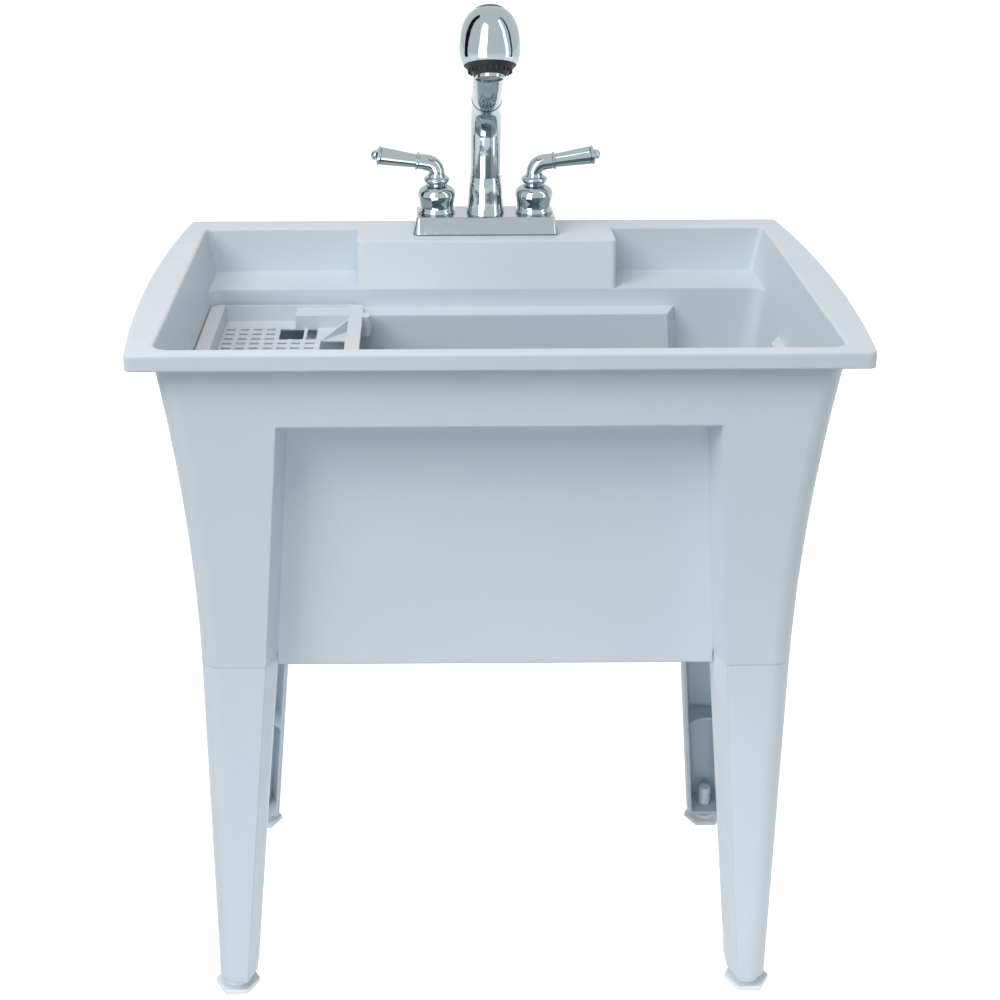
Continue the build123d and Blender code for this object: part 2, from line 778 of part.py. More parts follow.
with BuildPart() as drain_tailpiece:
    with BuildSketch(upright(0, drain_y, 0)):
        Polygon(
            (tailpiece_bore, tailpiece_bottom),
            (tailpiece_radius, tailpiece_bottom),
            (tailpiece_radius, collar_bottom - slip_nut_floor),
            (tailpiece_radius + tailpiece_bead, collar_bottom - slip_nut_floor),
            (tailpiece_radius + tailpiece_bead, collar_bottom),
            (drain_neck_radius - slip, collar_bottom),
            (drain_neck_radius - slip, tailpiece_top),
            (tailpiece_bore, tailpiece_top),
            align=None,
        )
    revolve(axis=drain_axis)
save(drain_tailpiece.part, "drain_tailpiece")

with BuildPart() as tailpiece_slip_nut:
    with BuildSketch(Plane((0, drain_y, collar_bottom - slip_nut_floor))):
        RegularPolygon(slip_nut_radius, 8)
    extrude(amount=slip_nut_height)
    with Locations((0, drain_y, collar_bottom)):
        Cylinder(thread_clear, slip_nut_height, align=low_side, mode=Mode.SUBTRACT)
        Cylinder(tailpiece_radius + tailpiece_bead + running, 4 * slip_nut_floor, mode=Mode.SUBTRACT)
save(tailpiece_slip_nut.part, "tailpiece_slip_nut")

with BuildPart() as drain_stopper:
    with BuildSketch(upright(0, drain_y, 0)):
        plug_clear = 2 * slip
        Polygon(
            (0, flange_top - stopper_plug_depth),
            (drain_bore - plug_clear, flange_top - stopper_plug_depth),
            (drain_bore - plug_clear, flange_top - drain_seat_depth),
            (drain_seat_radius - plug_clear, flange_top),
            (stopper_radius, flange_top),
            (stopper_radius, flange_top + stopper_height),
            (stopper_grip_radius / 2, flange_top + stopper_height),
            (stopper_grip_radius / 2, flange_top + 2 * stopper_height),
            (stopper_grip_radius, flange_top + 3 * stopper_height),
            (stopper_grip_radius, flange_top + 4 * stopper_height),
            (0, flange_top + 4 * stopper_height),
            align=None,
        )
    revolve(axis=drain_axis)
save(drain_stopper.part, "drain_stopper")


# ---------------------------------------------------------------- lift-out tray
tray_left = tray_side_gap - opening_half_width
tray_right = tray_left + tray_width
tray_back_y = back_panel_y + tray_bearing
tray_depth = 2 * (tray_back_y - drain_y)
tray_underside = ledge_height - tray_hang
tray_floor = tray_underside + tray_wall
tray_top = ledge_height + tray_rise
tray_step = -recess_top_half - tray_step_gap
tray_middle = (tray_left + tray_right) / 2
box_left = tray_left + tray_flange - tray_wall
box_right = tray_right - tray_flange + tray_wall
box_middle = (box_left + box_right) / 2
shelf_top = ledge_height + tray_wall
shelf_front_y = tray_back_y - tray_shelf_depth

with BuildPart() as tray_hollow:
    # room inside the tray, stepped over the two raised shelves
    with Locations((box_middle, drain_y, tray_floor)):
        Box(box_right - box_left - 2 * tray_wall, tray_depth - 2 * tray_wall, tray_top, align=low_side)
    with Locations((tray_step - tray_wall, shelf_front_y, shelf_top)):
        Box(tray_width, tray_depth, tray_top, align=(Align.MIN, Align.MIN, Align.MAX), mode=Mode.SUBTRACT)
    with Locations((tray_step - tray_wall, 2 * drain_y - shelf_front_y, shelf_top)):
        Box(tray_width, tray_depth, tray_top, align=(Align.MIN, Align.MAX, Align.MAX), mode=Mode.SUBTRACT)

with BuildPart() as wash_tray:
    # shallow box with a flange and a lip along both sides
    with Locations((box_middle, drain_y, tray_underside)):
        Box(box_right - box_left, tray_depth, tray_top - tray_underside, align=low_side)
    with BuildSketch(Plane((tray_middle, drain_y, ledge_height))):
        RectangleRounded(tray_width, tray_depth, tray_corner)
    extrude(amount=tray_top - ledge_height)
    groove = tray_flange - 2 * tray_wall
    for edge_x in (tray_left + tray_wall + groove / 2, tray_right - tray_wall - groove / 2):
        with Locations((edge_x, drain_y, tray_top - tray_wall)):
            Box(
                groove,
                tray_depth - 2 * tray_corner,
                tray_top - ledge_height,
                align=high_side,
                mode=Mode.SUBTRACT,
            )
    # notches over the ledges
    with Locations((tray_step, shelf_front_y + tray_wall, ledge_height)):
        Box(tray_width, tray_depth, tray_top, align=(Align.MIN, Align.MIN, Align.MAX), mode=Mode.SUBTRACT)
    with Locations((tray_step, 2 * drain_y - shelf_front_y - tray_wall, ledge_height)):
        Box(tray_width, tray_depth, tray_top, align=(Align.MIN, Align.MAX, Align.MAX), mode=Mode.SUBTRACT)
    add(tray_hollow.part, mode=Mode.SUBTRACT)
    # drain slots, two windows and a hatch in the floor
    with BuildSketch(Plane.XY.offset(tray_underside)) as openings:
        slot_rows = int((tray_depth - 2 * slot_inset_y) / slot_pitch_y)
        grid_middle_x = tray_left + slot_inset_x + slot_pitch_x * (slot_columns - 1) / 2
        grid_middle_y = tray_back_y - slot_inset_y - slot_pitch_y * (slot_rows - 1) / 2
        with Locations((grid_middle_x, grid_middle_y)):
            with GridLocations(slot_pitch_x, slot_pitch_y, slot_columns, slot_rows):
                Rectangle(slot_length, slot_width)
        for left, right in (window_columns[:2], window_columns[2:]):
            with Locations((tray_left + left, tray_back_y - window_near)):
                Rectangle(right - left, window_near - window_far, align=Align.MIN)
        with Locations((tray_left + hatch_columns[0], tray_back_y - hatch_near)):
            Rectangle(hatch_columns[1] - hatch_columns[0], hatch_near - hatch_far, align=Align.MIN)
    extrude(amount=tray_wall, mode=Mode.SUBTRACT)
    # web that rises from the floor to the rim, and the hook beside it
    web_foot = (tray_left + hatch_columns[0], tray_back_y - hatch_far, tray_floor)
    web_way = (cos(radians(web_angle)), sin(radians(web_angle)), 0)
    web_line = Plane(web_foot, x_dir=web_way, z_dir=(web_way[1], -web_way[0], 0))
    with BuildSketch(web_line):
        Polygon((0, 0), (web_run, 0), (web_run, tray_top - tray_floor), align=None)
    extrude(amount=tray_wall / 2, both=True)
    with Locations((tray_right - tray_wall, tray_back_y - hook_inset, tray_top)):
        Box(
            hook_reach + tray_wall,
            hook_width,
            hook_drop,
            align=(Align.MIN, Align.CENTER, Align.MAX),
        )
    hook_edges = wash_tray.faces().sort_by(Axis.X)[-1].edges()
    fillet(hook_edges.sort_by(Axis.Z)[:-1], hook_corner)
save(wash_tray.part, "wash_tray")


# ---------------------------------------------------------------- tap: plate, gasket, waterways
plate_inside = plate_top - plate_wall
taper_angle = degrees(atan2(plate_taper, plate_height))

with BuildPart() as tap_gasket:
    with BuildSketch(Plane((0, tap_y, rim_height))):
        RectangleRounded(plate_length - plate_wall, plate_depth - plate_wall, plate_corner - plate_wall / 2)
        with Locations((-handle_x, 0), (handle_x, 0)):
            Circle(shank_hole_radius, mode=Mode.SUBTRACT)
        Circle(trunk_hole_radius, mode=Mode.SUBTRACT)
    extrude(amount=gasket_height)
save(tap_gasket.part, "tap_gasket")

with BuildPart() as tap_base:
    with BuildSketch(Plane((0, tap_y, plate_bottom))):
        RectangleRounded(plate_length, plate_depth, plate_corner)
    extrude(amount=plate_height, taper=taper_angle)
    fillet(tap_base.faces().sort_by(Axis.Z)[-1].edges(), plate_edge)
    with BuildSketch(Plane((0, tap_y, plate_bottom))):
        room_length = plate_length - 2 * plate_wall
        room_depth = plate_depth - 2 * plate_wall
        RectangleRounded(room_length, room_depth, plate_corner - plate_wall)
    extrude(amount=plate_height - plate_wall, taper=taper_angle, mode=Mode.SUBTRACT)
    with Locations((-handle_x, tap_y, plate_top), (handle_x, tap_y, plate_top)):
        Cylinder(valve_radius + slip, 3 * plate_wall, mode=Mode.SUBTRACT)
    with Locations((0, tap_y, plate_top)):
        Cylinder(pivot_radius + running, 3 * plate_wall, mode=Mode.SUBTRACT)
save(tap_base.part, "tap_base")

with BuildPart() as cold_shank:
    # threaded tail under a body that stands in the plate's hollow
    with BuildSketch(upright(handle_x, tap_y, plate_inside)):
        tail_bottom = rim_height - shank_length - plate_inside
        tail_top = deck_underside - mount_washer_thickness - mount_nut_height - plate_inside
        Polygon(
            (shank_bore, tail_bottom),
            (shank_radius, tail_bottom),
            (shank_radius, tail_top),
            (shank_neck_radius, tail_top),
            (shank_neck_radius, -shank_body_height),
            (shank_body_radius, -shank_body_height),
            (shank_body_radius, 0),
            (valve_radius, 0),
            (valve_radius, plate_wall),
            (shank_bore, plate_wall),
            align=None,
        )
    revolve(axis=Axis((handle_x, tap_y, 0), (0, 0, 1)))
save(cold_shank.part, "cold_shank")
save(mirror(cold_shank.part, about=Plane.YZ), "hot_shank")

with BuildPart() as waterway:
    # cross tube behind the hose's path, with the outlet that feeds the hose
    with BuildSketch(Plane((0, tap_y, plate_inside - shank_body_height))):
        arm_reach = handle_x - shank_body_radius * cos(radians(manifold_angle))
        arm_root = shank_body_radius * sin(radians(manifold_angle))
        Polygon(
            (-arm_reach, -arm_root / 2),
            (-handle_x / 2, manifold_inner),
            (handle_x / 2, manifold_inner),
            (arm_reach, -arm_root / 2),
            (arm_reach, arm_root),
            (handle_x / 2, manifold_inner + manifold_width),
            (-handle_x / 2, manifold_inner + manifold_width),
            (-arm_reach, arm_root),
            align=None,
        )
        with Locations((-handle_x, 0), (handle_x, 0)):
            Circle(shank_body_radius + running, mode=Mode.SUBTRACT)
    extrude(amount=shank_body_height - plate_wall)
    with Locations((0, tap_y + outlet_set_back, plate_inside - shank_body_height)):
        Cylinder(outlet_radius, outlet_length, align=high_side)
        Cylinder(outlet_radius / 2, 2 * outlet_length + plate_wall, mode=Mode.SUBTRACT)
save(waterway.part, "waterway")

with BuildPart() as mounting_washers:
    with Locations((-handle_x, tap_y, deck_underside), (handle_x, tap_y, deck_underside)):
        Cylinder(
            mount_washer_radius,
            mount_washer_thickness,
            align=high_side,
        )
        Cylinder(shank_neck_radius + running, rim_height, mode=Mode.SUBTRACT)
save(mounting_washers.part, "mounting_washers")

with BuildPart() as mounting_nuts:
    with Locations((-handle_x, tap_y, deck_underside - mount_washer_thickness)):
        Cylinder(mount_nut_radius, mount_nut_height, align=high_side)
        Box(wing_length, wing_width, mount_nut_height, align=high_side)
        Cylinder(shank_neck_radius + running, rim_height, mode=Mode.SUBTRACT)
    mirror(about=Plane.YZ)
save(mounting_nuts.part, "mounting_nuts")

# ---------------------------------------------------------------- tap: valves and lever handles
handle_axis = Axis((handle_x, tap_y, 0), (0, 0, 1))

with BuildPart() as cold_cartridge:
    with BuildSketch(upright(handle_x, tap_y, plate_top)):
        Polygon(
            (0, 0),
            (valve_radius, 0),
            (valve_radius, valve_height),
            (valve_neck_radius, valve_height),
            (valve_neck_radius, valve_neck_height),
            (stem_radius + running, valve_neck_height),
            (stem_radius + running, stem_bottom - slip),
            (0, stem_bottom - slip),
            align=None,
        )
    revolve(axis=handle_axis)

with BuildPart() as cold_stem:
    with Locations((handle_x, tap_y, plate_top + stem_bottom)):
        Cylinder(stem_radius, stem_top - stem_bottom, align=low_side)

with BuildPart() as cold_bonnet:
    with BuildSketch(upright(handle_x, tap_y, plate_top)):
        with BuildLine():
            Polyline(bonnet_outside[0], *bonnet_outside[1:4])
            Spline(*bonnet_outside[3:])
            Spline(*bonnet_inside)
            Line(bonnet_outside[-1], bonnet_inside[0])
            Line(bonnet_inside[-1], bonnet_outside[0])
        make_face()
    revolve(axis=handle_axis)

finial_length = lever_reach - lever_outline[-1][0]
finial_radius = (lever_outline[-1][1] ** 2 + finial_length**2) / (2 * finial_length)

with BuildPart() as cold_handle:
    # neck and collar over the stem, elbow, then a turned grip with a finial
    with BuildSketch(upright(handle_x, tap_y, plate_top)):
        with BuildLine():
            Polyline(
                (0, handle_bottom),
                (handle_neck, handle_bottom),
                (handle_neck, collar_height - collar_half),
                (collar_radius - collar_half, collar_height - collar_half),
            )
            ThreePointArc(
                (collar_radius - collar_half, collar_height - collar_half),
                (collar_radius, collar_height),
                (collar_radius - collar_half, collar_height + collar_half),
            )
            Polyline(
                (collar_radius - collar_half, collar_height + collar_half),
                (lever_radius, elbow_bottom),
                (0, elbow_bottom),
                (0, handle_bottom),
            )
        make_face()
    revolve(axis=handle_axis)
    with BuildLine(upright(handle_x, tap_y, plate_top)) as elbow:
        Line((0, elbow_bottom - collar_half), (0, elbow_bottom))
        JernArc((0, elbow_bottom), (0, 1), elbow_radius, lever_tilt - 90)
    with BuildSketch(Plane((handle_x, tap_y, plate_top + elbow_bottom - collar_half))):
        Circle(lever_radius)
    sweep(path=elbow.wire())
    lever_start = elbow.wire() @ 1
    lever_way = Vector(cos(radians(lever_tilt)), 0, sin(radians(lever_tilt)))
    with BuildSketch(Plane(lever_start, x_dir=lever_way, z_dir=(0, -1, 0))):
        with BuildLine():
            Polyline((0, 0), (0, lever_radius), *lever_outline)
            RadiusArc(lever_outline[-1], (lever_reach, 0), finial_radius)
            Line((lever_reach, 0), (0, 0))
        make_face()
    revolve(axis=Axis(lever_start, lever_way))
    with Locations((handle_x, tap_y, plate_top)):
        Cylinder(stem_radius + running, stem_top, align=low_side, mode=Mode.SUBTRACT)
    with Locations(Location((handle_x, tap_y, plate_top + collar_height), (-90, 0, 0))):
        Cylinder(set_screw_radius + running, 2 * collar_radius, align=low_side, mode=Mode.SUBTRACT)

with BuildPart() as cold_handle_screw:
    with Locations(Location((handle_x, tap_y + stem_radius, plate_top + collar_height), (-90, 0, 0))):
        Cylinder(set_screw_radius, set_screw_length, align=low_side)

valve_parts = [
    (cold_cartridge, "cartridge"),
    (cold_stem, "stem"),
    (cold_bonnet, "bonnet"),
    (cold_handle, "handle"),
    (cold_handle_screw, "handle_screw"),
]
for piece, name in valve_parts:
    save(piece.part, f"cold_{name}")
    save(mirror(piece.part, about=Plane.YZ), f"hot_{name}")

# ---------------------------------------------------------------- tap: spout
trunk_axis = Axis((0, tap_y, 0), (0, 0, 1))

with BuildPart() as spout_base:
    with BuildSketch(upright(0, tap_y, plate_top)):
        with BuildLine():
            Spline(*trunk_foot)
            Polyline(trunk_foot[-1], (trunk_bore, trunk_seam), (trunk_bore, 0), trunk_foot[0])
        make_face()
    revolve(axis=trunk_axis)
save(spout_base.part, "spout_base")

with BuildPart() as spout_pivot:
    with Locations((0, tap_y, plate_inside - pivot_flange_height)):
        Cylinder(pivot_flange_radius, pivot_flange_height, align=low_side)
        Cylinder(pivot_radius, pivot_flange_height + plate_wall + pivot_rise, align=low_side)
        Cylinder(pivot_bore, rim_height, mode=Mode.SUBTRACT)
save(spout_pivot.part, "spout_pivot")

with BuildPart() as spout_o_rings:
    for height in o_ring_heights:
        with Locations((0, tap_y, plate_top + height)):
            Cylinder(trunk_bore - running, o_ring_width)
            Cylinder(pivot_radius + running / 2, o_ring_width, mode=Mode.SUBTRACT)
save(spout_o_rings.part, "spout_o_rings")

dock = Vector(0, dock_y, dock_z)
pull_way = Vector(0, -sin(radians(bend_angle)), cos(radians(bend_angle)))

with BuildPart() as spout:
    with BuildLine(Plane.YZ) as trunk_line:
        Line((tap_y, trunk_seam_z + seam_gap), (tap_y, bend_start))
        bend = JernArc((tap_y, bend_start), (0, 1), bend_radius, bend_angle)
        Line(bend @ 1, dock)
    with BuildSketch(Plane((0, tap_y, trunk_seam_z + seam_gap))):
        Circle(trunk_radius)
        Circle(trunk_bore, mode=Mode.SUBTRACT)
    sweep(path=trunk_line.wire())
save(spout.part, "spout")

# ---------------------------------------------------------------- tap: dock and pull-out spray
dock_plane = Plane(dock, x_dir=(1, 0, 0), z_dir=pull_way)
nozzle = Vector(0, tap_y - nozzle_reach, plate_top + nozzle_rise)
spray_way = Vector(0, sin(radians(spray_tilt)), cos(radians(spray_tilt)))
spray_section = Plane(nozzle, x_dir=(1, 0, 0), z_dir=Vector(1, 0, 0).cross(spray_way))
spray_plane = Plane(nozzle, x_dir=(1, 0, 0), z_dir=spray_way)
spray_axis = Axis(nozzle, spray_way)

with BuildPart(dock_plane) as dock_ring:
    Cylinder(trunk_radius, liner_flange, align=low_side)
    Cylinder(trunk_bore - slip, liner_length, align=high_side)
    Cylinder(liner_bore, 4 * liner_length, mode=Mode.SUBTRACT)

with BuildPart() as spray_wand:
    # bulb round the spray, a straight neck, and a tail that drops into the dock
    with BuildSketch(spray_section):
        with BuildLine():
            Spline(*bulb_outline)
            Polyline(
                bulb_outline[-1],
                (button_radius + slip, bulb_outline[-1][1]),
                (button_radius + slip, button_well),
                (0, button_well),
                (0, bulb_outline[0][1]),
                bulb_outline[0],
            )
        make_face()
    revolve(axis=spray_axis)
    with BuildLine(Plane.YZ) as neck_line:
        neck_start = dock + pull_way * liner_flange
        turn = JernArc((neck_start.Y, neck_start.Z), (pull_way.Y, pull_way.Z), neck_bend_radius, -neck_turn)
        Line(turn @ 1, turn @ 1 + (turn % 1) * neck_end)
    neck_plane = Plane(neck_start, x_dir=(1, 0, 0), z_dir=pull_way)
    with BuildSketch(neck_plane):
        Circle(neck_radius)
    sweep(path=neck_line.wire())
    with Locations(neck_plane):
        Cylinder(liner_bore - slip, tail_length, align=high_side)
    with BuildSketch(spray_section):
        Polygon(*bulb_inside, align=None)
    revolve(axis=spray_axis, mode=Mode.SUBTRACT)
    with BuildSketch(neck_plane):
        Circle(nipple_bore)
    sweep(path=neck_line.wire(), mode=Mode.SUBTRACT)
    with Locations(neck_plane):
        Cylinder(nipple_radius + running, 2 * tail_length, mode=Mode.SUBTRACT)
    with Locations(spray_plane):
        Cylinder(button_stem_radius + running, 4 * button_top, mode=Mode.SUBTRACT)

with BuildPart() as spray_face:
    # soft cone with the wide spray's ring, plugged into the bulb's mouth
    with BuildSketch(spray_section):
        rim_radius, rim_level = bulb_outline[0]
        plug_radius = rim_radius - bulb_wall - running
        Polygon(
            (aerator_radius + running, face_tip_level),
            (face_tip_radius, face_tip_level),
            (rim_radius, rim_level),
            (plug_radius, rim_level),
            (plug_radius, rim_level + face_plug),
            (aerator_bore / 2, rim_level + face_plug),
            (aerator_bore / 2, aerator_top),
            (aerator_radius + running, aerator_top),
            align=None,
        )
    revolve(axis=spray_axis)
    with Locations(spray_plane):
        with PolarLocations((face_tip_radius + rim_radius) / 2, spray_holes):
            Cylinder(spray_hole_radius, 4 * rim_level, mode=Mode.SUBTRACT)

with BuildPart(spray_plane) as aerator:
    with Locations((0, 0, aerator_bottom)):
        Cylinder(aerator_radius, aerator_top - aerator_bottom, align=low_side)
        Cylinder(aerator_bore, aerator_screen - aerator_bottom, align=low_side, mode=Mode.SUBTRACT)
    with GridLocations(screen_pitch, screen_pitch, 3, 3):
        Box(screen_hole, screen_hole, 4 * aerator_top, mode=Mode.SUBTRACT)

dome_rise = button_top - button_shoulder
dome_radius = (button_radius**2 + dome_rise**2) / (2 * dome_rise)

with BuildPart() as spray_button:
    with BuildSketch(spray_section):
        with BuildLine():
            Polyline(
                (0, button_stem_bottom),
                (button_stem_radius, button_stem_bottom),
                (button_stem_radius, button_bottom),
                (button_radius, button_bottom),
                (button_radius, button_shoulder),
            )
            RadiusArc((button_radius, button_shoulder), (0, button_top), -dome_radius)
            Line((0, button_top), (0, button_stem_bottom))
        make_face()
    revolve(axis=spray_axis)

with BuildPart(dock_plane) as hose_nipple:
    tail_end = liner_flange - tail_length
    with Locations((0, 0, tail_end)):
        Cylinder(nipple_radius, tail_length, align=low_side)
        Cylinder(nipple_radius, nipple_length, align=high_side)
        Cylinder(nipple_collar_radius, nipple_collar_height, align=high_side)
    Cylinder(nipple_bore, 4 * nipple_length, mode=Mode.SUBTRACT)

spray_parts = [
    (dock_ring, "dock_ring"),
    (spray_wand, "spray_wand"),
    (spray_face, "spray_face"),
    (aerator, "aerator"),
    (spray_button, "spray_button"),
    (hose_nipple, "hose_nipple"),
]
for piece, name in spray_parts:
    save(piece.part, name)
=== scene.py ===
"""Looks of a free-standing utility laundry sink with a pull-out spray tap."""

from math import atan2, cos, pi, radians, sin

import bpy
from mathutils import Euler, Matrix, Vector


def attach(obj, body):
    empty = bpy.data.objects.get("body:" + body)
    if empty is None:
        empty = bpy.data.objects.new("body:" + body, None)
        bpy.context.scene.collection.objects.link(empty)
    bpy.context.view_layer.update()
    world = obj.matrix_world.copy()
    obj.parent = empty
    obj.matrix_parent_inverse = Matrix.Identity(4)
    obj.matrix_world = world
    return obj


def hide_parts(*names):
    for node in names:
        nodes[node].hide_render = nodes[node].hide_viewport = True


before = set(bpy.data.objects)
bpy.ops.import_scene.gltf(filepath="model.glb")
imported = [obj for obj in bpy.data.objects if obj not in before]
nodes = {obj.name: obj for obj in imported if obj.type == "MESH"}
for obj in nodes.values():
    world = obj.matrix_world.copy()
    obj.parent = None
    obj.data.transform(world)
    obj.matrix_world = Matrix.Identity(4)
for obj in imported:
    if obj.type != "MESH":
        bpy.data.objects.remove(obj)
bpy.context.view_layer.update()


# ---- Camera: eye level a little above the tap, about two metres in front, a long lens that looks down
# into the basin. The shift only frames the picture as the photograph is framed.
bpy.ops.object.select_all(action="DESELECT")
bpy.ops.object.camera_add(location=(-0.0792, -1.9849, 1.4650))
camera = bpy.context.object
tilt = Euler((radians(69.03), 0, radians(-0.41))).to_matrix() @ Matrix.Rotation(radians(-0.13), 3, "Z")
camera.rotation_euler = tilt.to_euler()
camera.data.sensor_width = 36
camera.data.lens = 60.59
camera.data.shift_x = 0.0612
camera.data.shift_y = -0.100
camera.data.clip_end = 60
bpy.context.scene.camera = camera
bpy.context.scene.view_settings.view_transform = "Standard"


# ---- Moulded tub: one injection-moulded polypropylene shell, pale blue-grey all through, with a satin
# skin taken from the blasted steel mould. It shows cloudy pigment, a fine grain and dull handling marks.
def srgb(code):
    """Linear colour of an sRGB hex code."""
    channels = [int(code[i:i + 2], 16) / 255 for i in (1, 3, 5)]
    return [c / 12.92 if c <= 0.04045 else ((c + 0.055) / 1.055) ** 2.4 for c in channels] + [1]


def add_node(material, kind, settings, links={}):
    """Adds a shader node, sets its properties and inputs, and links inputs to other nodes' outputs."""
    tree = material.node_tree
    node = tree.nodes.new(kind)
    for name, value in settings.items():
        if isinstance(name, int) or name in node.inputs:
            node.inputs[name].default_value = value
        else:
            setattr(node, name, value)
    for name, source in links.items():
        tree.links.new(source, node.inputs[name])
    return node


def finish_of(name, **settings):
    """A new material with its plain shader values set on the shader's own sockets."""
    material = bpy.data.materials.new(name)
    material.use_nodes = True
    shader = material.node_tree.nodes["Principled BSDF"]
    for socket, value in settings.items():
        shader.inputs[socket.replace("_", " ")].default_value = value
    return material, shader


def colour_from(material, shader, low, high, mask):
    """Mixes the base colour from two colours by a mask."""
    tones = {"data_type": "RGBA", 6: srgb(low), 7: srgb(high)}
    blend = add_node(material, "ShaderNodeMix", tones, {0: mask})
    material.node_tree.links.new(blend.outputs[2], shader.inputs["Base Color"])


def roughness_from(material, shader, mask, smooth, dull):
    """Drives the roughness between two values by a mask that is mostly between 0.3 and 0.7."""
    settings = {"From Min": 0.3, "From Max": 0.7, "To Min": smooth, "To Max": dull}
    reach = add_node(material, "ShaderNodeMapRange", settings, {"Value": mask})
    material.node_tree.links.new(reach.outputs["Result"], shader.inputs["Roughness"])


def relief_from(material, shader, mask, strength, depth, edge=0.0):
    """Bump of a given depth in metres, over edges that are rounded by a given radius in metres."""
    settings = {"Strength": strength, "Distance": depth}
    bump = add_node(material, "ShaderNodeBump", settings, {"Height": mask})
    if edge:
        rounding = add_node(material, "ShaderNodeBevel", {"samples": 4, "Radius": edge})
        material.node_tree.links.new(rounding.outputs["Normal"], bump.inputs["Normal"])
    material.node_tree.links.new(bump.outputs["Normal"], shader.inputs["Normal"])


def coat(piece, material):
    """Gives one piece its finish."""
    piece.data.materials.clear()
    piece.data.materials.append(material)


def wear(material, *names):
    """Gives CAD nodes their finish."""
    for name in names:
        coat(nodes[name], material)


def moulded_plastic(name, pale, deep, roughness, edge):
    """Satin moulding: cloudy pigment flow, a blasted grain, dull handling marks, edges rubbed round."""
    plastic, shader = finish_of(name, IOR=1.49)
    place = add_node(plastic, "ShaderNodeTexCoord", {}).outputs["Object"]
    # pigment flow drifts over about 200 mm
    flow = add_node(plastic, "ShaderNodeTexNoise", {"Scale": 5, "Detail": 4}, {"Vector": place})
    colour_from(plastic, shader, pale, deep, flow.outputs["Fac"])
    # handling marks, 30 mm patches with finer edges
    marks = add_node(plastic, "ShaderNodeTexNoise", {"Scale": 33, "Detail": 5}, {"Vector": place})
    roughness_from(plastic, shader, marks.outputs["Fac"], roughness - 0.06, roughness + 0.1)
    # mould grain is 0.5 mm on the real skin, drawn at 2 mm so that it shows
    grain = add_node(plastic, "ShaderNodeTexNoise", {"Scale": 500, "Detail": 2}, {"Vector": place})
    relief_from(plastic, shader, grain.outputs["Fac"], 0.16, 0.0003, edge)
    return plastic


EDGE_ROUNDING = 0.003
JOINT_HEIGHT = 0.4725  # just over the joint with the legs
SKIRT_SIDE = 0.3450  # just inside the sides' lower edge

tub_skin = moulded_plastic("moulded_polypropylene", "#cddae2", "#c5d3dc", 0.42, EDGE_ROUNDING)
# below the joint the sides thin to a skin over the legs, which has no edge to round
place = tub_skin.node_tree.nodes["Texture Coordinate"].outputs["Object"]
axes = add_node(tub_skin, "ShaderNodeSeparateXYZ", {}, {"Vector": place})
aside = add_node(tub_skin, "ShaderNodeMath", {"operation": "ABSOLUTE"}, {0: axes.outputs["X"]})
inboard = add_node(tub_skin, "ShaderNodeMath", {"operation": "LESS_THAN", 1: SKIRT_SIDE},
                   {0: aside.outputs[0]})
above = add_node(tub_skin, "ShaderNodeMath", {"operation": "GREATER_THAN", 1: JOINT_HEIGHT},
                 {0: axes.outputs["Z"]})
thick = add_node(tub_skin, "ShaderNodeMath", {"operation": "MAXIMUM"},
                 {0: inboard.outputs[0], 1: above.outputs[0]})
rounding = add_node(tub_skin, "ShaderNodeMath", {"operation": "MULTIPLY", 1: EDGE_ROUNDING},
                    {0: thick.outputs[0]})
tub_skin.node_tree.links.new(rounding.outputs[0], tub_skin.node_tree.nodes["Bevel"].inputs["Radius"])
wear(tub_skin, "tub")


# ---- Legs: tapered channels, open towards the back or the front, moulded in the same polypropylene. Their
# colour is a shade paler than the tub's, painted light for the floor's bounce on the legs. Each is plugged
# up into a socket of the tub and screwed there.
leg_skin = moulded_plastic("leg_polypropylene", "#cfdce4", "#c8d6df", 0.42, EDGE_ROUNDING)
wear(leg_skin, "front_left_leg", "front_right_leg", "back_left_leg", "back_right_leg")


# ---- Leg screws: eight zinc-plated self-tapping screws with pan heads and crossed slots, driven from
# the sides through the sockets into the legs' plugs. The plating looks bluish and slightly mottled.
SCREW_HEAD_RADIUS = 0.005
SCREW_HEAD_HEIGHT = 0.0024
SCREW_HEAD_ROUNDING = 0.0013
SCREW_SLOT = (0.0052, 0.0011, 0.0028)  # half of its height is in the head
SCREW_RADIUS = 0.0024
SCREW_LENGTH = 0.014
SCREW_OVERLAP = 0.0002
SCREW_PITCH = 0.0018
SCREW_THREAD_DEPTH = 0.0007
SCREW_SEAT = 0.3445  # the heads' seats beside the sink's middle
SCREW_ROWS = (-0.2245, 0.1025)
SCREW_HEIGHTS = (0.490, 0.524)


def alone(piece):
    """Selects one piece and nothing else."""
    bpy.ops.object.select_all(action="DESELECT")
    piece.select_set(True)
    bpy.context.view_layer.objects.active = piece


def added(kind, **settings):
    """Adds a primitive of a named kind, with nothing else selected."""
    bpy.ops.object.select_all(action="DESELECT")
    getattr(bpy.ops.mesh, f"primitive_{kind}_add")(**settings)
    return bpy.context.object


def settle(piece):
    """Puts a piece's place, turn and size into its mesh."""
    alone(piece)
    bpy.ops.object.transform_apply(location=True, rotation=True, scale=True)


def modify(piece, kind, **settings):
    """Adds a modifier and applies it."""
    alone(piece)
    modifier = piece.modifiers.new(kind, kind)
    for name, value in settings.items():
        setattr(modifier, name, value)
    bpy.ops.object.modifier_apply(modifier=modifier.name)


def soften(piece, width, segments):
    """Rounds a piece's sharp edges."""
    modify(piece, "BEVEL", width=width, segments=segments, limit_method="ANGLE",
           angle_limit=radians(40))


def combine(piece, tool, operation):
    """Unites a piece with another shape, or cuts that shape out of it."""
    modify(piece, "BOOLEAN", object=tool, operation=operation, solver="EXACT")
    bpy.data.objects.remove(tool)


